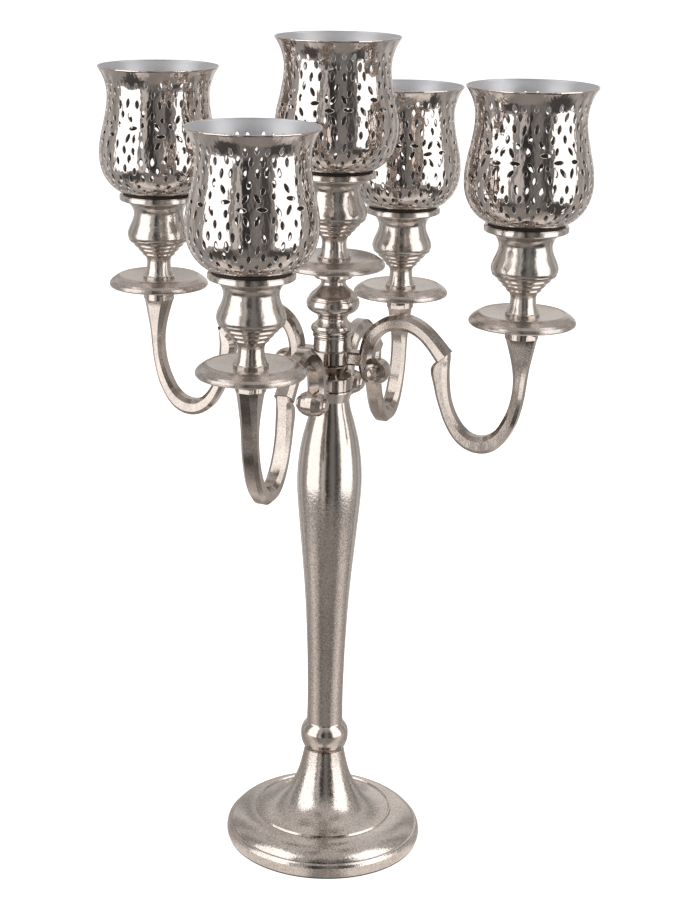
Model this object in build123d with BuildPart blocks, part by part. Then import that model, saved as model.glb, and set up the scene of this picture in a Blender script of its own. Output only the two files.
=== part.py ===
from build123d import *
import os

os.makedirs("parts", exist_ok=True)

# Tabletop candelabra with five lights, millimetres, +Z up.
# Origin: centre of the base where it rests on the table.
# The upper pair of arms lies along X, the lower pair along Y.

# driving dimensions
arm_reach = 138.6
upper_drop = 26.5
level_step = 19.8
lower_drop = upper_drop + level_step
rod_radius = 4.0
rod_bore = 4.1
stud_radius = 2.95
stud_bore = 3.0
felt_thickness = 1.2
base_top = 71.2
column_top = 350.4
eye_height = 10.0
eye_radius = 15.0
upper_eye_bottom = column_top + level_step
stem_bottom = upper_eye_bottom + eye_height
pan_seat = 441.0
pan_thickness = 4.4
cup_seat = pan_seat + pan_thickness
cup_rim = 502.0
socket_radius = 11.0
socket_bottom = 478.0
peg_radius = 10.7
peg_bottom = 482.0
seat_thickness = 5.4
seat_radius = 28.5
gasket_thickness = 1.0
shade_bottom = cup_rim + seat_thickness + gasket_thickness
shade_rim = 600.0
shade_wall = 1.3
floor_thickness = 1.6

# name, x, y and how far each light stands below the central one
lights = [
    ("center", 0.0, 0.0, 0.0),
    ("right", arm_reach, 0.0, upper_drop),
    ("left", -arm_reach, 0.0, upper_drop),
    ("back", 0.0, arm_reach, lower_drop),
    ("front", 0.0, -arm_reach, lower_drop),
]


def turned(segments, x=0.0, y=0.0, drop=0.0):
    """Solid of revolution about the vertical through x, y.

    Each segment is a list of radius and height pairs. Two points make a straight
    line and more make a smooth curve.
    """
    plane = Plane(origin=(x, y, -drop), x_dir=(1, 0, 0), z_dir=(0, -1, 0))
    with BuildPart() as body:
        with BuildSketch(plane):
            with BuildLine():
                for points in segments:
                    if len(points) == 2:
                        Line(points[0], points[1])
                    else:
                        Spline(*points)
            make_face()
        revolve(axis=Axis((x, y, 0), (0, 0, 1)))
    return body


def straight(points):
    """Split a chain of corners into straight segments."""
    return [[points[i], points[i + 1]] for i in range(len(points) - 1)]


def save(body, name):
    body.part.label = name
    export_step(body.part, "parts/" + name + ".step")


# ---- base: hollow casting, concave cone running out into a rounded foot ----
cone = [
    (14.6, base_top), (15.2, 68.0), (16.1, 63.5), (17.1, 59.0), (18.4, 54.0),
    (20.2, 48.4), (22.9, 42.6), (26.6, 37.0), (31.6, 31.8), (37.6, 27.6),
    (43.6, 24.7), (49.2, 22.8),
]
ridge_ring = [(49.2, 22.8), (49.9, 23.6), (50.8, 23.4), (51.3, 21.9)]
shoulder = [(51.3, 21.9), (55.8, 21.2), (60.5, 19.6), (64.6, 17.3), (67.6, 14.9), (69.5, 12.4)]
seam_and_band = [
    (69.5, 12.4), (69.1, 12.0), (69.3, 11.6), (70.8, 11.3), (71.6, 10.4), (72.3, 8.4),
    (72.7, 6.0), (72.7, 4.2), (72.4, 2.6), (71.8, felt_thickness), (68.0, felt_thickness),
    (68.0, 6.0),
]
foot_hollow = [
    (68.0, 6.0), (65.2, 11.2), (59.0, 15.6), (50.0, 18.6), (40.0, 22.2),
    (31.0, 27.6), (24.0, 34.6), (18.6, 43.0), (14.6, 51.0), (13.0, 56.0),
]
base_foot = turned(
    [cone] + straight(ridge_ring) + [shoulder] + straight(seam_and_band) + [foot_hollow]
    + straight([(13.0, 56.0), (rod_bore, 56.0), (rod_bore, base_top), (14.6, base_top)])
)
save(base_foot, "base_foot")

# ---- felt: closes the underside and stands on the table ----
with BuildPart() as base_felt:
    with BuildSketch(Plane.XY):
        Circle(71.4)
    extrude(amount=felt_thickness)
save(base_felt, "base_felt")

# ---- washer and nut that pull the tie rod down inside the base ----
with BuildPart() as base_washer:
    with BuildSketch(Plane.XY.offset(54.0)):
        Circle(11.0)
        Circle(rod_bore, mode=Mode.SUBTRACT)
    extrude(amount=2.0)
save(base_washer, "base_washer")

with BuildPart() as base_nut:
    with BuildSketch(Plane.XY.offset(47.5)):
        RegularPolygon(radius=6.5, side_count=6, major_radius=False)
        Circle(rod_radius + 0.05, mode=Mode.SUBTRACT)
    extrude(amount=6.5)
    chamfer(base_nut.edges().filter_by(Axis.Z).group_by(SortBy.LENGTH)[-1], length=0.4)
save(base_nut, "base_nut")

# ---- tie rod: runs from the base nut up into the central stem ----
with BuildPart() as tie_rod:
    with BuildSketch(Plane.XY.offset(42.0)):
        Circle(rod_radius)
    extrude(amount=356.0)
    chamfer(tie_rod.edges().filter_by(GeomType.CIRCLE), length=0.8)
save(tie_rod, "tie_rod")

# ---- column: ball knop, slim shaft, belly high up, flared collar ----
ball = [
    (14.0, base_top), (16.3, 75.2), (17.4, 79.2), (17.6, 83.2), (17.0, 87.2),
    (15.2, 90.4), (13.6, 92.2),
]
shaft = [
    (13.3, 93.0), (13.1, 104.0), (13.1, 116.0), (13.4, 130.0), (13.8, 146.0),
    (14.5, 162.0), (15.4, 180.0), (16.6, 198.0), (18.1, 216.0), (19.8, 234.0),
    (21.5, 252.0), (22.9, 268.0), (23.5, 282.0), (23.0, 294.0), (21.6, 306.0),
    (19.2, 318.0), (16.2, 329.0), (14.0, 337.0), (13.2, 342.4),
]
column = turned(
    [ball]
    + straight([(13.6, 92.2), (13.3, 93.0)])
    + [shaft]
    + straight([
        (13.2, 342.4), (15.0, 348.6), (15.3, 349.4), (15.3, column_top),
        (rod_bore, column_top), (rod_bore, base_top), (14.0, base_top),
    ])
)
save(column, "column")

# ---- spacer between the eyes of the two arm castings ----
hub_spacer = turned(straight([
    (rod_bore, column_top + eye_height), (7.6, column_top + eye_height),
    (7.9, 362.0), (10.6, 367.6), (10.9, 368.4), (9.4, 368.8),
    (9.4, upper_eye_bottom), (rod_bore, upper_eye_bottom),
    (rod_bore, column_top + eye_height),
]))
save(hub_spacer, "hub_spacer")

# ---- arm castings: two opposite scroll arms and a central eye ----
# A station is radius, height, heading in degrees, thickness, width and bevel.
# Heights are those of the upper pair.
arch_stations = [
    (30.5, 360.6, 128, 7.0, 11.0, 2.2),
    (27.2, 367.0, 104, 9.2, 12.2, 2.6),
    (26.7, 376.0, 89, 9.8, 12.6, 2.7),
    (27.9, 384.6, 78, 9.8, 12.6, 2.7),
    (31.5, 393.2, 59, 9.9, 12.6, 2.7),
    (38.4, 400.2, 34, 10.2, 12.6, 2.8),
    (47.2, 404.0, 12, 10.7, 12.6, 2.8),
    (56.4, 404.4, -8, 10.9, 12.6, 2.8),
    (65.2, 401.4, -28, 10.6, 12.6, 2.8),
    (73.0, 395.6, -43, 10.5, 12.6, 2.8),
    (79.2, 388.9, -49, 10.8, 12.8, 2.8),
    (84.3, 383.0, -49, 11.6, 13.2, 2.8),
]
loop_stations = [
    (84.6, 386.4, -84, 5.6, 9.6, 1.6),
    (83.5, 380.0, -92, 8.4, 11.0, 2.2),
    (81.5, 374.0, -88, 12.0, 11.8, 3.0),
    (82.2, 367.6, -82, 10.9, 11.8, 2.8),
    (83.7, 359.2, -78, 9.3, 11.6, 2.5),
    (86.0, 350.2, -73, 8.2, 11.6, 2.3),
    (90.0, 340.2, -63, 8.5, 11.6, 2.3),
    (96.4, 330.6, -48, 9.8, 11.6, 2.5),
    (105.0, 324.6, -21, 11.2, 11.6, 2.8),
    (114.4, 323.8, 9, 12.0, 11.6, 2.9),
    (123.6, 328.4, 38, 11.2, 11.6, 2.8),
    (130.6, 337.6, 61, 9.5, 11.6, 2.5),
    (135.6, 349.8, 73, 8.2, 11.6, 2.3),
    (138.4, 363.6, 83, 7.6, 11.6, 2.2),
    (139.2, 376.6, 88, 9.0, 11.8, 2.5),
    (139.2, 388.0, 90, 13.2, 13.2, 3.3),
    (138.9, 397.0, 90, 17.6, 14.6, 4.0),
    (138.6, 402.6, 90, 20.8, 16.2, 4.6),
]
collar_top = 405.4
bud_center = (34.9, 367.4)
bud_profile = [
    (0.0, -11.7), (3.6, -11.2), (4.7, -10.3), (4.9, -9.2), (6.6, -8.4), (8.2, -5.6),
    (9.1, -2.2), (9.1, 2.2), (8.2, 5.6), (6.6, 8.4), (4.9, 9.2), (4.7, 10.3),
    (3.6, 11.2), (0.0, 11.7),
]


def bevelled(thickness, width, bevel):
    """Strap section: a rectangle whose four corners are cut off."""
    a = thickness / 2
    b = width / 2
    corners = [
        (a, b - bevel), (a - bevel, b), (bevel - a, b), (-a, b - bevel),
        (-a, bevel - b), (bevel - a, -b), (a - bevel, -b), (a, bevel - b),
    ]
    Polygon(*corners, align=None)


def section_plane(upright, radius, height, heading):
    """Plane square to a scroll that is drawn in an upright plane."""
    here = upright.from_local_coords(Vector(radius, height, 0))
    ahead = Vector(1, 0, 0).rotate(Axis.Z, heading)
    along = upright.from_local_coords(Vector(radius, height, 0) + ahead) - here
    return Plane(origin=here, x_dir=upright.z_dir.cross(along), z_dir=along)


def arm_pair(direction, drop):
    """Casting with a scroll arm each way along a horizontal direction."""
    with BuildPart() as casting:
        with BuildSketch(Plane.XY.offset(upper_eye_bottom - drop)):
            Circle(eye_radius)
        extrude(amount=eye_height)
        chamfer(casting.edges().filter_by(GeomType.CIRCLE), length=0.8)
        for sign in (1, -1):
            outward = Vector(*direction) * sign
            side = outward.cross(Vector(0, 0, 1))
            upright = Plane(origin=(0, 0, -drop), x_dir=outward, z_dir=side)
            for stations in (arch_stations, loop_stations):
                for radius, height, heading, thickness, width, bevel in stations:
                    with BuildSketch(section_plane(upright, radius, height, heading)):
                        bevelled(thickness, width, bevel)
                loft()
            # web between the eye and the scroll
            for reach, size in ((9.0, 12.4), (27.0, 11.4)):
                root = upright.from_local_coords((reach, upper_eye_bottom + eye_height / 2, 0))
                with BuildSketch(Plane(origin=root, x_dir=(0, 0, 1), z_dir=outward)):
                    bevelled(eye_height - 0.6, size, 1.4)
            loft()
            # polygonal collar and round neck under the drip pan
            end = upright.from_local_coords((arm_reach, 402.6, 0))
            with BuildSketch(Plane(origin=end, x_dir=outward, z_dir=(0, 0, 1))):
                bevelled(21.4, 16.8, 4.8)
            extrude(amount=collar_top - 402.6)
            with BuildSketch(Plane(origin=end, x_dir=outward, z_dir=(0, 0, 1))):
                Circle(10.2)
            extrude(amount=pan_seat - upper_drop - 402.6)
            # rounded bud at the inner end of the scroll
            middle = upright.from_local_coords((bud_center[0], bud_center[1], 0))
            with BuildSketch(Plane(origin=middle, x_dir=(0, 0, 1), z_dir=outward)) as half:
                with BuildLine():
                    Polyline(*bud_profile)
                    Line(bud_profile[-1], bud_profile[0])
                make_face()
            revolve(axis=Axis(middle, side))
            # blind hole for the stud of the light
            top = upright.from_local_coords((arm_reach, pan_seat - upper_drop, 0))
            with BuildSketch(Plane(origin=top, x_dir=outward, z_dir=(0, 0, -1))):
                Circle(stud_bore)
            extrude(amount=16.0, mode=Mode.SUBTRACT)
        with BuildSketch(Plane.XY.offset(upper_eye_bottom - drop)):
            Circle(rod_bore)
        extrude(amount=eye_height, mode=Mode.SUBTRACT)
    return casting


arm_pair_upper = arm_pair((1, 0, 0), 0.0)
save(arm_pair_upper, "arm_pair_upper")

arm_pair_lower = arm_pair((0, 1, 0), level_step)
save(arm_pair_lower, "arm_pair_lower")

# ---- central stem: stepped rings, neck, bulb and collar ----
stem_rings = [
    (rod_bore, stem_bottom), (13.2, stem_bottom), (13.2, 388.2), (12.6, 388.6),
    (12.6, 389.2), (13.9, 389.8), (14.1, 390.6), (13.9, 391.4), (13.0, 391.8),
    (13.0, 392.3), (14.4, 392.9), (15.2, 394.4), (15.4, 395.8), (14.6, 397.6),
]
stem_bulb = [
    (14.6, 397.6), (12.0, 399.6), (10.4, 402.4), (11.4, 405.0), (14.8, 407.2),
    (17.8, 409.8), (18.8, 413.0), (18.3, 416.2),
]
stem_neck = [
    (17.4, 417.7), (15.4, 420.5), (12.0, 423.6), (9.6, 426.2), (8.8, 428.6), (9.8, 430.8),
]
center_stem = turned(
    straight(stem_rings) + [stem_bulb]
    + straight([(18.3, 416.2), (16.9, 416.6), (16.9, 417.2), (17.4, 417.7)])
    + [stem_neck]
    + straight([
        (9.8, 430.8), (13.2, 431.8), (13.9, 432.8), (13.9, 438.0), (12.6, pan_seat),
        (stud_bore, pan_seat), (stud_bore, pan_seat - 16.0), (0.0, pan_seat - 16.0),
        (0.0, 400.0), (rod_bore, 400.0), (rod_bore, stem_bottom),
    ])
)
save(center_stem, "center_stem")

# ---- studs: join the pan and the cup of each light to its arm ----
with BuildPart() as light_studs:
    for name, x, y, drop in lights:
        with BuildSketch(Plane.XY.offset(pan_seat - 15.0 - drop)):
            with Locations((x, y)):
                Circle(stud_radius)
        extrude(amount=31.0)
save(light_studs, "light_studs")

# ---- drip pans: shallow dished plate with a deep sloping bevel and a rolled edge ----
pan_outline = [
    (stud_bore, pan_seat), (13.0, pan_seat), (14.0, pan_seat + 1.4), (26.8, 443.2),
    (31.2, 441.6), (33.4, 439.4), (34.4, 438.9), (35.5, 439.2), (36.2, 440.1), (36.3, 441.2),
    (35.8, 442.4), (34.4, 444.0), (31.4, 446.2), (29.4, 447.2), (28.6, 447.3), (28.0, 446.9),
    (18.0, 445.8), (13.0, cup_seat), (stud_bore, cup_seat), (stud_bore, pan_seat),
]

# ---- candle cups: foot, neck, ridged underside, bulge and flared top ----
cup_foot = [
    (stud_bore, cup_seat), (11.6, cup_seat), (11.6, 446.8), (10.8, 447.4), (10.2, 448.8),
]
cup_neck = [(10.2, 448.8), (9.2, 451.6), (8.7, 455.2), (8.9, 458.8), (10.2, 461.6)]
cup_ridges = [
    (10.2, 461.6), (11.5, 462.2), (12.1, 463.1), (11.9, 463.8), (13.6, 465.0),
    (14.6, 465.9), (15.0, 466.7), (14.8, 467.3), (16.6, 468.4), (17.7, 469.3),
    (18.1, 470.1), (17.9, 470.7), (20.2, 472.0), (21.6, 473.2), (21.8, 473.9),
    (21.4, 474.3), (22.0, 474.7),
]
cup_side = [
    (22.0, 474.7), (22.7, 477.6), (22.0, 481.2), (20.3, 485.2), (18.7, 489.2),
    (18.1, 492.8), (18.8, 496.4), (20.6, 499.4), (22.4, 501.0),
]
cup_inside = [
    (22.4, 501.0), (22.9, 501.4), (22.6, cup_rim), (20.4, cup_rim), (18.6, 499.6),
    (socket_radius, 499.0), (socket_radius, socket_bottom), (0.0, socket_bottom),
    (0.0, cup_seat + 13.0), (stud_bore, cup_seat + 13.0), (stud_bore, cup_seat),
]

# ---- shade seats: disc under each shade with a peg that drops into the cup ----
seat_top = cup_rim + seat_thickness
seat_outline = [
    (0.0, peg_bottom), (peg_radius - 0.8, peg_bottom), (peg_radius, peg_bottom + 0.8),
    (peg_radius, cup_rim), (25.2, cup_rim), (25.6, cup_rim + 0.8), (28.0, cup_rim + 1.0),
    (seat_radius, cup_rim + 1.6), (seat_radius, cup_rim + 4.3), (seat_radius - 0.6, seat_top - 0.3),
    (seat_radius - 1.6, seat_top), (2.5, seat_top), (2.5, 494.0), (0.0, 494.0),
    (0.0, peg_bottom),
]
gasket_outline = [
    (3.0, seat_top), (26.0, seat_top), (26.0, shade_bottom), (3.0, shade_bottom),
    (3.0, seat_top),
]

# ---- shades: thin tulip cups, round belly, waist and an out-turned rim ----
shade_side = [
    (26.2, shade_bottom), (29.8, 510.2), (33.6, 513.2), (37.2, 517.2), (39.9, 521.8),
    (41.8, 527.0), (42.8, 532.6), (43.0, 538.4), (42.6, 544.4), (41.6, 550.4),
    (40.3, 556.4), (39.0, 562.4), (37.9, 568.4), (37.2, 574.0), (37.0, 579.0),
    (37.4, 583.6), (38.4, 588.0), (39.9, 592.2), (41.8, 596.0), (43.8, 599.2),
]
inner_bottom = shade_bottom + floor_thickness
inner_side = [(r - shade_wall, z + 0.2) for r, z in shade_side[-1:1:-1]]
shade_profile = (
    [shade_side]
    + straight([shade_side[-1], (43.7, shade_rim), (42.9, shade_rim), inner_side[0]])
    + [inner_side]
    + straight([
        inner_side[-1], (28.0, inner_bottom + 0.4), (25.6, inner_bottom),
        (2.7, inner_bottom), (2.7, shade_bottom), (26.2, shade_bottom),
    ])
)

# ---- screws that hold each shade down on its seat ----
screw_outline = [
    (0.0, 495.0), (2.4, 495.0), (2.4, inner_bottom), (5.6, inner_bottom),
    (5.6, inner_bottom + 1.4), (4.4, inner_bottom + 2.6), (1.4, inner_bottom + 3.0),
    (1.4, inner_bottom + 1.2), (0.0, inner_bottom + 1.2), (0.0, 495.0),
]

for name, x, y, drop in lights:
    drip_pan = turned(straight(pan_outline), x, y, drop)
    save(drip_pan, "drip_pan_" + name)

    candle_cup = turned(
        straight(cup_foot) + [cup_neck] + straight(cup_ridges) + [cup_side]
        + straight(cup_inside),
        x, y, drop,
    )
    save(candle_cup, "candle_cup_" + name)

    shade_seat = turned(straight(seat_outline), x, y, drop)
    save(shade_seat, "shade_seat_" + name)

    gasket = turned(straight(gasket_outline), x, y, drop)
    save(gasket, "shade_gasket_" + name)

    shade = turned(shade_profile, x, y, drop)
    save(shade, "shade_" + name)

    shade_screw = turned(straight(screw_outline), x, y, drop)
    save(shade_screw, "shade_screw_" + name)
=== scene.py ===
import math
import random

import bpy
import numpy as np
from mathutils import Matrix, Vector
from mathutils.geometry import delaunay_2d_cdt


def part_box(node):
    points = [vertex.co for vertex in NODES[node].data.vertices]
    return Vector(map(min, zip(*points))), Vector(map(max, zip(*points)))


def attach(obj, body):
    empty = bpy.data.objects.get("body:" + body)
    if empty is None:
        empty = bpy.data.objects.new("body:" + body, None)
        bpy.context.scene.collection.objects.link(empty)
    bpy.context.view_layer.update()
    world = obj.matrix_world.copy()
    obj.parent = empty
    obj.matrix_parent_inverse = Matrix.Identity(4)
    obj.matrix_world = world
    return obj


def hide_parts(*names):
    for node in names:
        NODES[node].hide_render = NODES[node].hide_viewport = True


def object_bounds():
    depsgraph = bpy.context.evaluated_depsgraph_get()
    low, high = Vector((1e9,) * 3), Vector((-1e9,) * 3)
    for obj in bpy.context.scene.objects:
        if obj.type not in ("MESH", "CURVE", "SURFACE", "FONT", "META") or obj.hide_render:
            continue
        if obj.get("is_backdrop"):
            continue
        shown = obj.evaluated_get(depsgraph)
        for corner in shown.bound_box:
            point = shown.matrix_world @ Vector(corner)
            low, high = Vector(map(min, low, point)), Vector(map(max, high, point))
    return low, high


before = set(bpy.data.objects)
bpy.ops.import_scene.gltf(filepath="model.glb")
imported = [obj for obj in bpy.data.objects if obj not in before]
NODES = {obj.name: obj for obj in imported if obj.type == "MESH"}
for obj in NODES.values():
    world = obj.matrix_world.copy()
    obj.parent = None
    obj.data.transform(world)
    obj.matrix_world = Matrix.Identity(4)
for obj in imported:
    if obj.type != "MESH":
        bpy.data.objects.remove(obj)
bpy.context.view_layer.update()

LIGHTS = ["center", "right", "left", "back", "front"]
MM = 0.001

# ------------------------------------------------------------------ camera
# The view turns 22 degrees from the lower front arm towards the right arm.
VIEW_AZIMUTH = 22.07


def add_camera():
    turn = Matrix.Rotation(math.radians(VIEW_AZIMUTH), 3, "Z")
    yaw, pitch, roll = math.radians(-2.290), math.radians(14.771), math.radians(-0.559)
    forward = Vector((math.sin(yaw) * math.cos(pitch), math.cos(yaw) * math.cos(pitch), -math.sin(pitch)))
    right = Vector((math.cos(yaw), -math.sin(yaw), 0))
    down = forward.cross(right)
    right_rolled = math.cos(roll) * right + math.sin(roll) * down
    down_rolled = math.cos(roll) * down - math.sin(roll) * right
    axes = Matrix((right_rolled, -down_rolled, -forward)).transposed()
    data = bpy.data.cameras.new("camera")
    data.lens = 75.09
    data.sensor_width = 36
    data.shift_x, data.shift_y = 0.1012, -0.0828
    data.clip_start, data.clip_end = 0.05, 50
    camera = bpy.data.objects.new("camera", data)
    bpy.context.scene.collection.objects.link(camera)
    camera.matrix_world = Matrix.Translation(turn @ Vector((0, -1.2995, 0.7018))) @ (turn @ axes).to_4x4()
    bpy.context.scene.camera = camera


add_camera()


# ------------------------------------------------------------------ materials
class Nodes:
    """Small helper that adds nodes to a tree and links them."""

    def __init__(self, tree):
        self.tree = tree

    def add(self, kind, **settings):
        node = self.tree.nodes.new(kind)
        for key, value in settings.items():
            setattr(node, key, value)
        return node

    def link(self, output, socket):
        self.tree.links.new(output, socket)

    def spread(self, value, low, high, to_low, to_high, smooth=False):
        node = self.add("ShaderNodeMapRange")
        if smooth:
            node.interpolation_type = "SMOOTHSTEP"
        for socket, number in zip(("From Min", "From Max", "To Min", "To Max"), (low, high, to_low, to_high)):
            node.inputs[socket].default_value = number
        self.link(value, node.inputs["Value"])
        return node.outputs["Result"]

    def math(self, operation, a, b):
        node = self.add("ShaderNodeMath", operation=operation)
        for index, item in enumerate((a, b)):
            if isinstance(item, (int, float)):
                node.inputs[index].default_value = item
            else:
                self.link(item, node.inputs[index])
        return node.outputs["Value"]

    def vector_math(self, operation, vector, other=None):
        node = self.add("ShaderNodeVectorMath", operation=operation)
        self.link(vector, node.inputs[0])
        if other is not None:
            node.inputs[1].default_value = other
        return node.outputs["Vector" if operation == "ADD" else "Value"]

    def mixed(self, factor, first, second):
        """Mix of two colours, each a constant or the output of another node."""
        node = self.add("ShaderNodeMix", data_type="RGBA")
        for socket, item in (("A", first), ("B", second)):
            if isinstance(item, tuple):
                node.inputs[socket].default_value = (*item, 1)
            else:
                self.link(item, node.inputs[socket])
        self.link(factor, node.inputs["Factor"])
        return node.outputs["Result"]

    def ramp(self, value, stops, tint, interpolation):
        """Tinted level by azimuth in degrees, for a value that runs from 0 to 1 over the full turn."""
        node = self.add("ShaderNodeValToRGB")
        elements = node.color_ramp.elements
        node.color_ramp.interpolation = interpolation
        while len(elements) < len(stops):
            elements.new(0.5)
        for element, (azimuth, level) in zip(elements, stops):
            element.position = 0.5 + azimuth / 360
            element.color = (level * tint[0], level * tint[1], level * tint[2], 1)
        self.link(value, node.inputs["Fac"])
        return node.outputs["Color"]

    def shader_mix(self, factor, first, second):
        node = self.add("ShaderNodeMixShader")
        self.link(factor, node.inputs["Fac"])
        self.link(first, node.inputs[1])
        self.link(second, node.inputs[2])
        return node.outputs["Shader"]


class Finish(Nodes):
    """A new material with a Principled shader, built from noise at the piece's own coordinates."""

    def __init__(self, name):
        self.material = bpy.data.materials.new(name)
        self.material.use_nodes = True
        super().__init__(self.material.node_tree)
        self.shader = self.tree.nodes["Principled BSDF"]
        self.place = self.add("ShaderNodeTexCoord").outputs["Object"]

    def noise(self, scale, detail=3.0, rough=0.5, stretch=None, distort=0.0):
        where = self.place
        if stretch:
            mapping = self.add("ShaderNodeMapping")
            mapping.inputs["Scale"].default_value = stretch
            self.link(self.place, mapping.inputs["Vector"])
            where = mapping.outputs["Vector"]
        node = self.add("ShaderNodeTexNoise")
        node.inputs["Scale"].default_value = scale
        node.inputs["Detail"].default_value = detail
        node.inputs["Roughness"].default_value = rough
        node.inputs["Distortion"].default_value = distort
        self.link(where, node.inputs["Vector"])
        return node.outputs["Fac"]

    def height(self):
        node = self.add("ShaderNodeSeparateXYZ")
        self.link(self.place, node.inputs["Vector"])
        return node.outputs["Z"]

    def bump(self, height, depth, before=None, strength=1.0):
        node = self.add("ShaderNodeBump")
        node.inputs["Distance"].default_value = depth
        if isinstance(strength, (int, float)):
            node.inputs["Strength"].default_value = strength
        else:
            self.link(strength, node.inputs["Strength"])
        self.link(height, node.inputs["Height"])
        if before is not None:
            self.link(before, node.inputs["Normal"])
        return node.outputs["Normal"]

    def finish(self, color, rough, normal, metallic=1.0):
        self.shader.inputs["Metallic"].default_value = metallic
        self.link(color, self.shader.inputs["Base Color"])
        self.link(rough, self.shader.inputs["Roughness"])
        self.link(normal, self.shader.inputs["Normal"])
        return self.material


BALL_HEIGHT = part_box("column")[0].z + 0.014


def cast_nickel():
    """Base and column: sand-cast grain low down, buffed smoother on the belly of the column."""
    n = Finish("cast_nickel")
    height = n.height()
    from_ball = n.math("ABSOLUTE", n.math("SUBTRACT", height, BALL_HEIGHT), 0.0)
    grain_zone = n.math(
        "MULTIPLY", n.spread(height, 0.268, 0.292, 1.0, 0.22, smooth=True),
        n.spread(from_ball, 0.012, 0.019, 0.45, 1.0, smooth=True))
    grain = n.noise(620.0, 2.0, 0.6)
    pits = n.noise(1150.0, 2.0, 0.55)
    wave = n.noise(34.0, 1.0, 0.5)
    tone = n.noise(24.0, 4.0, 0.6, stretch=(1.0, 1.0, 0.35))
    rough = n.math("ADD", n.spread(grain, 0.3, 0.7, 0.10, 0.19), n.spread(tone, 0.3, 0.7, -0.02, 0.03))
    speckle = n.math("ADD", n.spread(pits, 0.38, 0.62, -0.26, 0.26), n.spread(grain, 0.36, 0.64, -0.20, 0.20))
    speckle = n.math("MULTIPLY", speckle, grain_zone)
    shade_of_grey = n.math("ADD", n.spread(tone, 0.35, 0.65, 0.46, 0.78), speckle)
    color = n.mixed(shade_of_grey, (0.38, 0.335, 0.302), (0.76, 0.70, 0.655))
    normal = n.bump(wave, 0.0003)
    normal = n.bump(grain, 0.00009, normal, grain_zone)
    normal = n.bump(pits, 0.00004, normal, grain_zone)
    return n.finish(color, rough, normal)


def satin_nickel(name, dark, light, rough_low, rough_high, unevenness):
    """Arms and pans: filed and brushed castings with a slightly uneven skin."""
    n = Finish(name)
    wave = n.noise(42.0, 1.5, 0.5)
    grain = n.noise(950.0, 2.0, 0.5)
    tone = n.noise(36.0, 4.0, 0.6)
    mottle = n.noise(230.0, 3.0, 0.6)
    rough = n.spread(tone, 0.3, 0.7, rough_low, rough_high)
    speckle = n.spread(grain, 0.38, 0.62, -0.20, 0.20)
    color = n.mixed(n.math("ADD", n.spread(tone, 0.35, 0.65, 0.1, 0.9), speckle), dark, light)
    normal = n.bump(wave, 0.0003)
    normal = n.bump(mottle, unevenness, normal)
    normal = n.bump(grain, 0.000025, normal)
    return n.finish(color, rough, normal)


def polished_nickel():
    """Candle cups, seats and stem: turned and buffed, with faint rings and a soft cast waviness."""
    n = Finish("polished_nickel")
    wave = n.noise(120.0, 3.0, 0.5)
    rings = n.noise(40.0, 3.0, 0.6, stretch=(0.6, 0.6, 26.0))
    tone = n.noise(45.0, 4.0, 0.6)
    rough = n.spread(tone, 0.3, 0.7, 0.13, 0.22)
    color = n.mixed(n.spread(tone, 0.35, 0.65, 0.0, 1.0), (0.58, 0.53, 0.49), (0.67, 0.62, 0.58))
    normal = n.bump(wave, 0.0004)
    normal = n.bump(rings, 0.00006, normal)
    return n.finish(color, rough, normal)


def mirror_nickel():
    """Outside of the shades: bright plate over spun metal, with faint upright ripples."""
    n = Finish("mirror_nickel")
    ripple = n.noise(85.0, 3.0, 0.55, stretch=(1.0, 1.0, 0.5))
    scuff = n.noise(420.0, 3.0, 0.6, stretch=(1.0, 1.0, 0.3))
    tone = n.noise(30.0, 3.0, 0.6)
    rough = n.math("ADD", n.spread(scuff, 0.35, 0.75, 0.035, 0.085), n.spread(tone, 0.4, 0.7, 0.0, 0.03))
    color = n.mixed(n.spread(tone, 0.35, 0.65, 0.0, 1.0), (0.64, 0.58, 0.542), (0.71, 0.65, 0.612))
    normal = n.bump(ripple, 0.0008)
    return n.finish(color, rough, normal)


def pale_satin():
    """Inside of the shades: matt pale plate, with painted shade that darkens it from the rim downwards."""
    n = Finish("pale_satin")
    fine = n.noise(1500.0, 2.0, 0.5)
    tone = n.noise(40.0, 3.0, 0.6)
    rough = n.spread(tone, 0.3, 0.7, 0.36, 0.46)
    # painted shade: the inside is coloured dark deep down and pale near the rim, standing in for the shade
    # inside the shade; the pale colour is the plate
    painted_shade_fade = n.spread(n.height(), 0.052, 0.088, 0.0, 1.0, smooth=True)
    painted_shade_fade = n.math("ADD", painted_shade_fade, n.spread(tone, 0.3, 0.7, -0.06, 0.06))
    color = n.mixed(painted_shade_fade, (0.16, 0.155, 0.15), (0.60, 0.61, 0.635))
    normal = n.bump(fine, 0.00003)
    return n.finish(color, rough, normal, metallic=0.55)


def plain_steel():
    """Screws, tie rod, nut and washer."""
    n = Finish("plain_steel")
    lines = n.noise(300.0, 2.0, 0.5, stretch=(1.0, 1.0, 8.0))
    tone = n.noise(80.0, 3.0, 0.6)
    rough = n.spread(lines, 0.3, 0.7, 0.24, 0.36)
    color = n.mixed(n.spread(tone, 0.35, 0.65, 0.0, 1.0), (0.50, 0.49, 0.47), (0.62, 0.61, 0.59))
    return n.finish(color, rough, n.bump(lines, 0.00004))


def black_gasket():
    n = Finish("black_gasket")
    fine = n.noise(1800.0, 3.0, 0.6)
    color = n.mixed(n.spread(fine, 0.3, 0.7, 0.0, 1.0), (0.012, 0.012, 0.012), (0.03, 0.029, 0.028))
    return n.finish(color, n.spread(fine, 0.3, 0.7, 0.6, 0.8), n.bump(fine, 0.00008), metallic=0.0)


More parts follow.
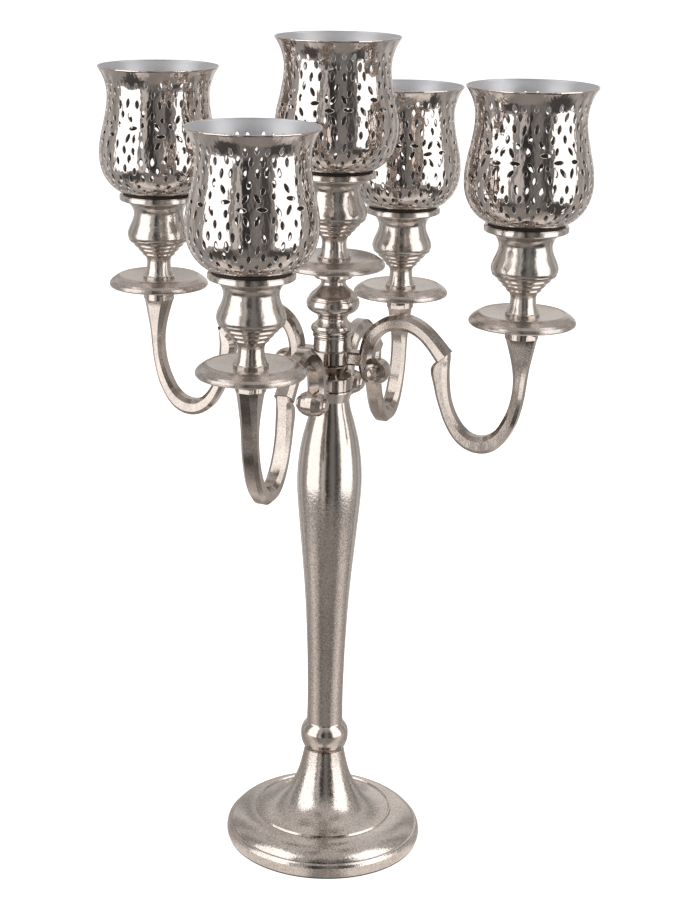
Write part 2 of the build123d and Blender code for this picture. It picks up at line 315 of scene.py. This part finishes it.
def dark_felt():
    n = Finish("dark_felt")
    fibre = n.noise(2400.0, 4.0, 0.7, distort=1.5)
    clump = n.noise(260.0, 3.0, 0.6)
    color = n.mixed(n.spread(clump, 0.3, 0.7, 0.0, 1.0), (0.018, 0.018, 0.020), (0.045, 0.045, 0.048))
    n.shader.inputs["Sheen Weight"].default_value = 0.35
    return n.finish(color, n.spread(fibre, 0.3, 0.7, 0.82, 0.98), n.bump(fibre, 0.0003), metallic=0.0)


CAST = cast_nickel()
ARM_SATIN = satin_nickel("arm_satin", (0.35, 0.303, 0.270), (0.58, 0.518, 0.472), 0.11, 0.20, 0.00005)
PAN_SATIN = satin_nickel("pan_satin", (0.45, 0.402, 0.372), (0.67, 0.608, 0.565), 0.19, 0.28, 0.00014)
POLISHED = polished_nickel()
MIRROR = mirror_nickel()
PALE = pale_satin()
STEEL = plain_steel()
GASKET = black_gasket()
FELT = dark_felt()


def paint(node, material):
    piece = NODES[node]
    if not piece.material_slots:
        piece.data.materials.append(material)
    for item in piece.material_slots:
        item.material = material


for node in ("base_foot", "column"):
    paint(node, CAST)
for node in ("arm_pair_upper", "arm_pair_lower", "hub_spacer"):
    paint(node, ARM_SATIN)
paint("center_stem", POLISHED)
paint("base_felt", FELT)
for node in ("base_washer", "base_nut", "tie_rod", "light_studs"):
    paint(node, STEEL)
for name in LIGHTS:
    paint("drip_pan_" + name, PAN_SATIN)
    paint("candle_cup_" + name, POLISHED)
    paint("shade_seat_" + name, POLISHED)
    paint("shade_gasket_" + name, GASKET)
    paint("shade_screw_" + name, STEEL)


# ------------------------------------------------------------------ pierced shades
def smooth_curve(points, step):
    """Natural cubic spline through the points, sampled about every step of its length."""
    p = np.array(points, float)
    t = np.concatenate(([0.0], np.cumsum(np.linalg.norm(np.diff(p, axis=0), axis=1))))
    count, h = len(p), np.diff(t)
    system, known = np.eye(count), np.zeros((count, 2))
    for i in range(1, count - 1):
        system[i, i - 1:i + 2] = h[i - 1], 2 * (h[i - 1] + h[i]), h[i]
        known[i] = 6 * ((p[i + 1] - p[i]) / h[i] - (p[i] - p[i - 1]) / h[i - 1])
    bend = np.linalg.solve(system, known)
    at = np.linspace(0, t[-1], int(t[-1] / step) + 1)
    k = np.clip(np.searchsorted(t, at, side="right") - 1, 0, count - 2)
    a, b, w = (t[k + 1] - at)[:, None], (at - t[k])[:, None], h[k][:, None]
    return (bend[k] * a ** 3 + bend[k + 1] * b ** 3) / (6 * w) + (
        p[k] / w - bend[k] * w / 6) * a + (p[k + 1] / w - bend[k + 1] * w / 6) * b


# Outer side of a shade from the rim down, as radius and height above its underside, in millimetres.
SIDE = [
    (43.8, 90.8), (41.8, 87.6), (39.9, 83.8), (38.4, 79.6), (37.4, 75.2), (37.0, 70.6), (37.2, 65.6),
    (37.9, 60.0), (39.0, 54.0), (40.3, 48.0), (41.6, 42.0), (42.6, 36.0), (43.0, 30.0), (42.8, 24.2),
    (41.8, 18.6), (39.9, 13.4), (37.2, 8.8), (33.6, 4.8), (29.8, 1.8), (26.2, 0.0),
]
WALL = 1.3
LIP = 0.30          # width of the rounded lip round a hole
GRID = 2.3          # spacing of the plain points
ROW_PITCH = GRID * 0.866
ROUND = 41.0        # radius at which the side is unrolled
TURN = 2 * math.pi * ROUND
EDGE_COUNT = 150
HOLE_POINTS = 14


class Side:
    """The outer side as a function of the distance down from the rim."""

    def __init__(self):
        self.path = smooth_curve(SIDE, 0.25)
        steps = np.linalg.norm(np.diff(self.path, axis=0), axis=1)
        self.down = np.concatenate(([0.0], np.cumsum(steps)))
        slope = np.gradient(self.path, self.down, axis=0)
        slope /= np.linalg.norm(slope, axis=1)[:, None]
        self.out = np.stack((-slope[:, 1], slope[:, 0]), axis=1)
        self.length = self.down[-1]

    def at(self, down):
        """Radius, height and the two parts of the outward normal."""
        columns = (self.path[:, 0], self.path[:, 1], self.out[:, 0], self.out[:, 1])
        return tuple(np.interp(down, self.down, column) for column in columns)


side = Side()


def hole_list():
    """Pierced pattern: twelve rosettes of six petals round the middle, upright almonds above and below.

    Each hole is angle, distance down, tilt, half length and half width, in degrees and millimetres.
    """
    pick = random.Random(11)
    wanted = []
    for k in range(12):
        angle = 30.0 * k + pick.uniform(-2.0, 2.0)
        down = 44.5 + (2.6 if k % 2 else -2.6) + pick.uniform(-0.8, 0.8)
        for spoke in (0, 62, 118, 180, 242, 298):
            reach = 6.6 if spoke % 180 == 0 else 7.8
            spoke_turn = math.radians(spoke + pick.uniform(-6, 6))
            along = reach * math.cos(spoke_turn) / 41.5
            wanted.append((
                angle + math.degrees(along), down - reach * math.sin(spoke_turn),
                90 - math.degrees(spoke_turn) + pick.uniform(-7, 7), 3.4 + pick.uniform(-0.3, 0.2), 1.42,
            ))
        for aside, drop in ((-3.0, -8.6), (3.6, -4.8), (-3.4, 5.2), (3.2, 9.2)):
            wanted.append((
                angle + 15 + aside / 41.5 * 57.3 + pick.uniform(-1, 1), 44.5 + drop + pick.uniform(-0.6, 0.6),
                pick.uniform(-22, 22), pick.choice((1.9, 2.6, 3.1)), pick.choice((1.15, 1.35)),
            ))
    rows = [
        (11.8, 30, 2.8), (18.2, 30, 3.3), (25.2, 30, 3.3), (32.0, 30, 2.8), (57.6, 30, 2.9), (64.4, 30, 3.3),
        (71.4, 30, 3.3), (78.2, 30, 3.1), (84.6, 30, 2.6), (90.4, 30, 2.0),
    ]
    for index, (down, count, half) in enumerate(rows):
        tilt = 24 if down > 80 else 13
        for k in range(count):
            angle = 360.0 / count * (k + 0.5 * (index % 2))
            wanted.append((
                angle + pick.uniform(-1.7, 1.7), down + pick.uniform(-1.0, 1.0), pick.uniform(-tilt, tilt),
                half * pick.uniform(0.85, 1.06), pick.uniform(1.25, 1.5),
            ))
    kept, rings = [], []
    for hole in wanted:
        ring = outline(hole, 0.4)
        clear = ring[:, 1].max() < side.length - 5.5
        for other in rings:
            gap = ring[:, None] - other[None]
            gap[..., 0] -= TURN * np.round(gap[..., 0] / TURN)
            if np.min(np.hypot(gap[..., 0], gap[..., 1])) < 0.75:
                clear = False
                break
        if clear:
            kept.append(hole)
            rings.append(ring)
    return kept


def outline(hole, grow):
    """Points round a hole on the unrolled side, grown by a margin."""
    angle, down, tilt, half, width = hole
    turn = np.arange(HOLE_POINTS) * 2 * math.pi / HOLE_POINTS
    x = (width + grow) * np.sin(turn) * (1 - 0.10 * np.cos(turn) ** 2)
    y = (half + grow) * np.cos(turn)
    lean = math.radians(tilt)
    across = x * math.cos(lean) + y * math.sin(lean)
    along = y * math.cos(lean) - x * math.sin(lean)
    radius = side.at(down + along)[0]
    return np.stack((math.radians(angle) * ROUND + across * ROUND / radius, down + along), axis=1)


def shade_sheet(top, bottom):
    """Triangles of the unrolled side between two distances down, with the holes left out.

    Returns points, their kind (0 plain, 1 lip of a hole, 2 cut edge), triangles and the rings of cut edges.
    """
    pick = random.Random(5)
    points, kind, loops = [], [], []
    for line in (top, bottom):
        for k in range(EDGE_COUNT):
            points.append((TURN * k / EDGE_COUNT, line))
            kind.append(0)
    holes = hole_list()
    for hole in holes:
        for grow, sort in ((LIP, 1), (0.0, 2)):
            ring = outline(hole, grow)
            ring[:, 0] -= TURN * math.floor(ring[:, 0].mean() / TURN)
            loops.append([len(points) + i for i in range(HOLE_POINTS)])
            points += [tuple(p) for p in ring]
            kind += [sort] * HOLE_POINTS
    cuts = np.array([outline(h, LIP) for h in holes]).reshape(-1, 2)
    cuts[:, 0] %= TURN
    across = int(TURN / GRID)
    for row in range(int((bottom - top) / ROW_PITCH)):
        y = top + (row + 1) * ROW_PITCH
        if y > bottom - 1.0:
            break
        for k in range(across):
            x = (k + 0.5 * (row % 2)) * TURN / across
            spot = np.array((x + pick.uniform(-0.12, 0.12), y + pick.uniform(-0.12, 0.12)))
            gap = cuts - spot
            gap[:, 0] -= TURN * np.round(gap[:, 0] / TURN)
            far = np.hypot(gap[:, 0], gap[:, 1])
            if far.min() < 0.85:
                continue
            if any(inside(spot, h) for h in near_holes(holes, spot)):
                continue
            points.append(tuple(spot))
            kind.append(0)
    count = len(points)
    flat, origin, edges = [Vector(p) for p in points], list(range(count)), []
    for loop in loops:
        edges += [(loop[i], loop[(i + 1) % len(loop)]) for i in range(len(loop))]
    margin = 14.0
    for shift in (TURN, -TURN):
        for loop in loops:
            xs = [points[i][0] for i in loop]
            if (shift > 0 and min(xs) < margin) or (shift < 0 and max(xs) > TURN - margin):
                first = len(flat)
                for i in loop:
                    flat.append(Vector((points[i][0] + shift, points[i][1])))
                    origin.append(i)
                edges += [(first + i, first + (i + 1) % len(loop)) for i in range(len(loop))]
        looped = {i for loop in loops for i in loop}
        for i in range(count):
            x = points[i][0]
            if i not in looped and ((shift > 0 and x < margin) or (shift < 0 and x > TURN - margin)):
                flat.append(Vector((x + shift, points[i][1])))
                origin.append(i)
    found = delaunay_2d_cdt(flat, edges, [], 0, 1e-7)
    made, source = found[0], found[3]
    ring_of = {}
    for number, loop in enumerate(loops):
        for i in loop:
            ring_of[i] = number
    triangles = []
    for face in found[2]:
        middle = sum(made[i][0] for i in face) / 3
        if not 0 <= middle < TURN:
            continue
        ids = [origin[source[i][0]] for i in face]
        rings = {ring_of.get(i, -1 - i) for i in ids}
        if len(rings) == 1 and kind[ids[0]] == 2:
            continue
        triangles.append(ids)
    cut_rings = [loop for loop in loops if kind[loop[0]] == 2]
    return points, kind, triangles, cut_rings


def near_holes(holes, spot):
    for hole in holes:
        aside = math.radians(hole[0]) * ROUND - spot[0]
        aside -= TURN * round(aside / TURN)
        if abs(aside) < 5 and abs(hole[1] - spot[1]) < 5:
            yield hole


def inside(spot, hole):
    angle, down, tilt, half, width = hole
    radius = side.at(spot[1])[0]
    across = spot[0] - math.radians(angle) * ROUND
    across = (across - TURN * round(across / TURN)) * radius / ROUND
    along = spot[1] - down
    lean = math.radians(tilt)
    x = across * math.cos(lean) - along * math.sin(lean)
    y = along * math.cos(lean) + across * math.sin(lean)
    return (x / (width + 0.5)) ** 2 + (y / (half + 0.5)) ** 2 < 1


def shade_mesh():
    """One shade about the z axis with its underside at z = 0, in metres."""
    top, bottom = 1.2, side.length - 4.0
    points, kind, triangles, cut_rings = shade_sheet(top, bottom)
    flat, kind = np.array(points), np.array(kind)
    count = len(flat)
    radius, height, out_r, out_z = side.at(flat[:, 1])
    turn = flat[:, 0] / ROUND + math.radians(VIEW_AZIMUTH)
    cos, sin = np.cos(turn), np.sin(turn)
    outward = np.stack((out_r * cos, out_r * sin, out_z), axis=1)
    outer = np.stack((radius * cos, radius * sin, height), axis=1)
    inner = outer - outward * WALL
    cut = kind == 2
    outer[cut] -= outward[cut] * LIP
    inner[cut] += outward[cut] * 0.20
    normals_out, normals_in = outward.copy(), -outward
    for ring in cut_rings:
        ring = np.array(ring)
        middle = outer[ring].mean(axis=0)
        pull = middle - outer[ring]
        pull -= outward[ring] * np.sum(pull * outward[ring], axis=1)[:, None]
        pull /= np.linalg.norm(pull, axis=1)[:, None]
        normals_out[ring] = (outward[ring] + 1.1 * pull) / math.sqrt(2.21)
        normals_in[ring] = (1.1 * pull - outward[ring]) / math.sqrt(2.21)
    verts = [outer, inner]
    normals = [normals_out, normals_in]
    faces = [tuple(triangle) for triangle in triangles]
    faces += [(c + count, b + count, a + count) for a, b, c in triangles]
    sort = [0] * len(triangles) + [1] * len(triangles)
    a, b, c = triangles[0]
    if np.cross(outer[b] - outer[a], outer[c] - outer[a]) @ outward[a] < 0:
        faces = [tuple(reversed(f)) for f in faces]
    for ring in cut_rings:
        for i in range(len(ring)):
            j = (i + 1) % len(ring)
            faces.append((ring[i], ring[j], ring[j] + count, ring[i] + count))
            sort.append(0)
    # the walls of the holes face into the holes
    first = len(triangles) * 2
    ring = cut_rings[0]
    a, b, c = (np.concatenate(verts)[i] for i in faces[first][:3])
    middle = outer[np.array(ring)].mean(axis=0)
    if np.cross(b - a, c - a) @ (middle - a) < 0:
        faces[first:] = [tuple(reversed(f)) for f in faces[first:]]
    # rings that close the rim and the foot; profile points run from outside to inside
    at = side.at(np.array([0.0, 0.5]))
    lip = [
        (at[0][1], at[1][1], 0.9, -0.3), (at[0][0] + 0.05, at[1][0] + 0.1, 0.95, -0.1),
        (43.72, 91.35, 0.7, 0.7), (43.35, 91.58, 0.0, 1.0), (42.9, 91.45, -0.6, 0.8),
        (42.55, 91.0, -0.9, 0.3), (42.3, 90.5, -0.85, 0.25),
    ]
    close = side.at(np.array([side.length - 2.4, side.length - 1.0]))
    foot = [
        (close[0][0], close[1][0], close[2][0], close[3][0]), (close[0][1], close[1][1], 0.5, -0.85),
        (26.4, 0.12, 0.3, -0.95), (25.6, 0.0, 0.0, -1.0), (14.0, 0.0, 0.0, -1.0), (2.7, 0.0, 0.0, -1.0),
        (2.7, 1.6, 0.0, 1.0), (14.0, 1.6, 0.0, 1.0), (25.4, 1.6, 0.0, 1.0), (27.6, 1.9, -0.3, 0.95),
    ]
    edge_turn = 2 * math.pi * np.arange(EDGE_COUNT) / EDGE_COUNT + math.radians(VIEW_AZIMUTH)

    def circle(radius, height):
        return np.stack((
            radius * np.cos(edge_turn), radius * np.sin(edge_turn), np.full(EDGE_COUNT, height)), axis=1)

    def add_rings(profile, start_ring, end_ring, last_sorts):
        rows = [start_ring]
        for r, z, nr, nz in profile:
            size = math.hypot(nr, nz)
            base = sum(len(v) for v in verts)
            verts.append(circle(r, z))
            normals.append(circle(nr / size, nz / size))
            rows.append([base + i for i in range(EDGE_COUNT)])
        rows.append(end_ring)
        for number in range(len(rows) - 1):
            upper, lower = rows[number], rows[number + 1]
            for i in range(EDGE_COUNT):
                j = (i + 1) % EDGE_COUNT
                faces.append((upper[i], lower[i], lower[j], upper[j]))
                sort.append(last_sorts[number])

    first = len(faces)
    top_out = list(range(EDGE_COUNT))
    low_out = list(range(EDGE_COUNT, 2 * EDGE_COUNT))
    add_rings(lip, top_out, [i + count for i in top_out], [0] * 5 + [1] * 3)
    lip_faces = faces[first:]
    faces[first:] = [tuple(reversed(f)) for f in lip_faces]
    add_rings(foot, low_out, [i + count for i in low_out], [0] * 6 + [1] * 5)
    all_verts = np.concatenate(verts) * MM
    all_normals = np.concatenate(normals)
    mesh = bpy.data.meshes.new("pierced_shade")
    mesh.from_pydata([tuple(v) for v in all_verts], [], faces)
    mesh.materials.append(MIRROR)
    mesh.materials.append(PALE)
    mesh.polygons.foreach_set("material_index", sort)
    mesh.polygons.foreach_set("use_smooth", [True] * len(mesh.polygons))
    mesh.validate()
    mesh.update()
    mesh.normals_split_custom_set_from_vertices([tuple(v) for v in all_normals])
    return mesh


shade = shade_mesh()
for index, name in enumerate(LIGHTS):
    low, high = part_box("shade_" + name)
    piece = bpy.data.objects.new("pierced_shade_" + name, shade)
    bpy.context.scene.collection.objects.link(piece)
    piece.location = ((low.x + high.x) / 2, (low.y + high.y) / 2, low.z)
    piece.rotation_euler = (0, 0, math.radians(90.0 * index))
    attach(piece, "shade_lift_" + name)
    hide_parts("shade_" + name)


# ------------------------------------------------------------------ floor and light
def facing(azimuth, distance, height):
    """Point at an azimuth from the camera's side, seen from above: positive to the camera's right."""
    angle = math.radians(VIEW_AZIMUTH + azimuth)
    return Vector((math.sin(angle) * distance, -math.cos(angle) * distance, height))


def stage_sheet(name, corners, material):
    mesh = bpy.data.meshes.new(name)
    mesh.from_pydata(corners, [], [tuple(range(len(corners)))])
    mesh.materials.append(material)
    piece = bpy.data.objects.new(name, mesh)
    bpy.context.scene.collection.objects.link(piece)
    piece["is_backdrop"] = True
    return piece


def disc(radius):
    """Corners of a flat disc on the floor."""
    turns = [math.radians(angle) for angle in range(0, 360, 4)]
    return [(radius * math.cos(turn), radius * math.sin(turn), 0.0) for turn in turns]


FLOOR_RADIUS = 40.0


def pale_floor():
    """Plain pale floor. It isn't reflected: the metal sees a small table top instead."""
    material = bpy.data.materials.new("pale_floor")
    material.use_nodes = True
    shader = material.node_tree.nodes["Principled BSDF"]
    shader.inputs["Base Color"].default_value = (0.86, 0.86, 0.86, 1)
    shader.inputs["Roughness"].default_value = 0.9
    shader.inputs["Specular IOR Level"].default_value = 0.0
    shader.inputs["Emission Color"].default_value = (1, 1, 1, 1)
    shader.inputs["Emission Strength"].default_value = 0.72
    floor = stage_sheet("floor", disc(FLOOR_RADIUS), material)
    floor.visible_glossy = False
    floor.visible_shadow = False


TABLE_AHEAD = 0.10      # from the column towards the camera
TABLE_RADIUS = 0.52
WARM = (1.0, 0.93, 0.875)


def table_top():
    """Beige table top that only reflections see: paler beside the foot, fading out with distance."""
    material = bpy.data.materials.new("table_top")
    material.use_nodes = True
    material.node_tree.nodes.clear()
    n = Nodes(material.node_tree)

    def level_round(point, stops):
        """Level by azimuth about a point: 0 towards the camera."""
        split = n.add("ShaderNodeSeparateXYZ")
        n.link(point, split.inputs[0])
        turn = n.math("ARCTAN2", split.outputs["X"], split.outputs["Y"])
        return n.ramp(n.spread(turn, -math.pi, math.pi, 0.0, 1.0), stops, WARM, "EASE")

    from_middle = n.add("ShaderNodeTexCoord").outputs["Object"]
    from_axis = n.vector_math("ADD", from_middle, (0.0, TABLE_AHEAD, 0.0))
    wide = level_round(from_middle, [
        (-180, 0.46), (-135, 0.42), (-114, 0.62), (-96, 0.94), (-74, 0.68), (-50, 0.29), (0, 0.33),
        (48, 0.28), (70, 0.62), (92, 0.92), (112, 0.62), (135, 0.42), (180, 0.46),
    ])
    beside_foot = level_round(from_axis, [
        (-180, 0.50), (-84, 0.50), (-66, 0.95), (-20, 0.90), (-8, 0.42), (4, 0.36), (12, 0.90), (62, 0.95),
        (84, 0.50), (180, 0.50),
    ])
    away = n.spread(n.vector_math("LENGTH", from_axis), 0.10, 0.17, 0.0, 1.0, smooth=True)
    fade = n.spread(n.vector_math("LENGTH", from_middle), 0.40, 0.51, 0.0, 1.0, smooth=True)
    glow = n.add("ShaderNodeEmission")
    n.link(n.mixed(away, beside_foot, wide), glow.inputs["Color"])
    clear = n.add("ShaderNodeBsdfTransparent")
    output = n.add("ShaderNodeOutputMaterial")
    n.link(n.shader_mix(fade, glow.outputs["Emission"], clear.outputs["BSDF"]), output.inputs["Surface"])
    table = stage_sheet("table_top", disc(TABLE_RADIUS), material)
    table.location = facing(0, TABLE_AHEAD, 0.0)
    table.rotation_euler = (0, 0, math.radians(VIEW_AZIMUTH + 180))
    for flag in ("visible_camera", "visible_diffuse", "visible_shadow", "visible_transmission"):
        setattr(table, flag, False)


BOX_DISTANCE = 2.2
BOX_LOW, BOX_HIGH = -0.60, 3.6
BOX_GLOW = 1.48         # brightness as the metal sees it


def soft_box(name, azimuth, width):
    """Upright rectangle of light that faces the object."""
    tall = BOX_HIGH - BOX_LOW
    data = bpy.data.lights.new(name, "AREA")
    data.shape = "RECTANGLE"
    data.size = width
    data.size_y = tall
    data.energy = BOX_GLOW * math.pi * width * tall
    light = bpy.data.objects.new(name, data)
    bpy.context.scene.collection.objects.link(light)
    place = facing(azimuth, BOX_DISTANCE, (BOX_LOW + BOX_HIGH) / 2)
    light.location = place
    light.rotation_euler = Vector((-place.x, -place.y, 0)).to_track_quat("-Z", "Y").to_euler()
    light.visible_camera = False


ROOM_TINT = (1.0, 0.96, 0.93)


def studio_world():
    """White to the camera. The metal sees a dim room: a pale strip, dark below the lights, pale behind."""
    world = bpy.data.worlds.new("studio")
    bpy.context.scene.world = world
    world.use_nodes = True
    world.node_tree.nodes.clear()
    n = Nodes(world.node_tree)
    where = n.add("ShaderNodeTexCoord").outputs["Generated"]
    uneven = n.add("ShaderNodeTexNoise")
    uneven.inputs["Scale"].default_value = 3.2
    uneven.inputs["Detail"].default_value = 2.0
    n.link(where, uneven.inputs["Vector"])
    sway = n.math("SUBTRACT", uneven.outputs["Fac"], 0.5)
    rightwards = n.vector_math("DOT_PRODUCT", where, facing(90, 1.0, 0.0))
    nearer = n.vector_math("DOT_PRODUCT", where, facing(0, 1.0, 0.0))
    turn = n.math("ADD", n.math("DIVIDE", n.math("ARCTAN2", rightwards, nearer), 2 * math.pi), 0.5)
    turn = n.math("ADD", turn, n.math("MULTIPLY", sway, 0.03))
    height = n.math("ADD", n.vector_math("DOT_PRODUCT", where, (0, 0, 1)), n.math("MULTIPLY", sway, 0.30))
    # levels by azimuth: 0 towards the camera, positive to its right
    lower = n.ramp(turn, [
        (-180, 0.50), (-166, 0.26), (-152, 0.52), (-140, 0.28), (-126, 0.50), (-108, 0.36), (-92, 0.40),
        (-84, 0.12), (-76, 0.09), (-42, 0.08), (-30, 0.15), (-20, 0.26), (-8, 0.20), (0, 0.16), (16, 0.24),
        (30, 0.17), (40, 0.08), (78, 0.08), (88, 0.13), (98, 0.38), (112, 0.48), (124, 0.28), (138, 0.50),
        (152, 0.26), (166, 0.50), (180, 0.50),
    ], ROOM_TINT, "LINEAR")
    upper = n.ramp(turn, [
        (-180, 0.80), (-160, 0.40), (-148, 0.80), (-134, 0.36), (-120, 0.66), (-108, 0.30), (-96, 0.46),
        (-40, 0.44), (-31, 0.26), (-27, 0.72), (-18, 0.62), (-14, 0.14), (-11, 0.04), (-3, 0.04), (2, 0.18),
        (12, 0.27), (20, 0.18), (24, 0.08), (30, 0.08), (36, 0.24), (50, 0.44), (96, 0.42), (106, 0.56),
        (116, 0.28), (130, 0.72), (144, 0.34), (158, 0.80), (180, 0.80),
    ], ROOM_TINT, "LINEAR")
    top = n.ramp(turn, [(-180, 0.75), (0, 0.52), (180, 0.75)], ROOM_TINT, "LINEAR")
    sides = n.mixed(n.spread(height, -0.58, -0.44, 0.0, 1.0, smooth=True), lower, upper)
    everything = n.mixed(n.spread(height, 0.55, 0.9, 0.0, 1.0, smooth=True), sides, top)
    room = n.add("ShaderNodeBackground")
    n.link(everything, room.inputs["Color"])
    white = n.add("ShaderNodeBackground")
    white.inputs["Color"].default_value = (1, 1, 1, 1)
    path = n.add("ShaderNodeLightPath")
    to_camera = path.outputs["Is Camera Ray"]
    seen = n.shader_mix(to_camera, room.outputs["Background"], white.outputs["Background"])
    output = n.add("ShaderNodeOutputWorld")
    n.link(seen, output.inputs["Surface"])


pale_floor()
table_top()
soft_box("soft_box_left", -62, 2.0)
soft_box("soft_box_right", 65, 1.9)
studio_world()
bpy.context.scene.view_settings.view_transform = "Standard"

low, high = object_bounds()
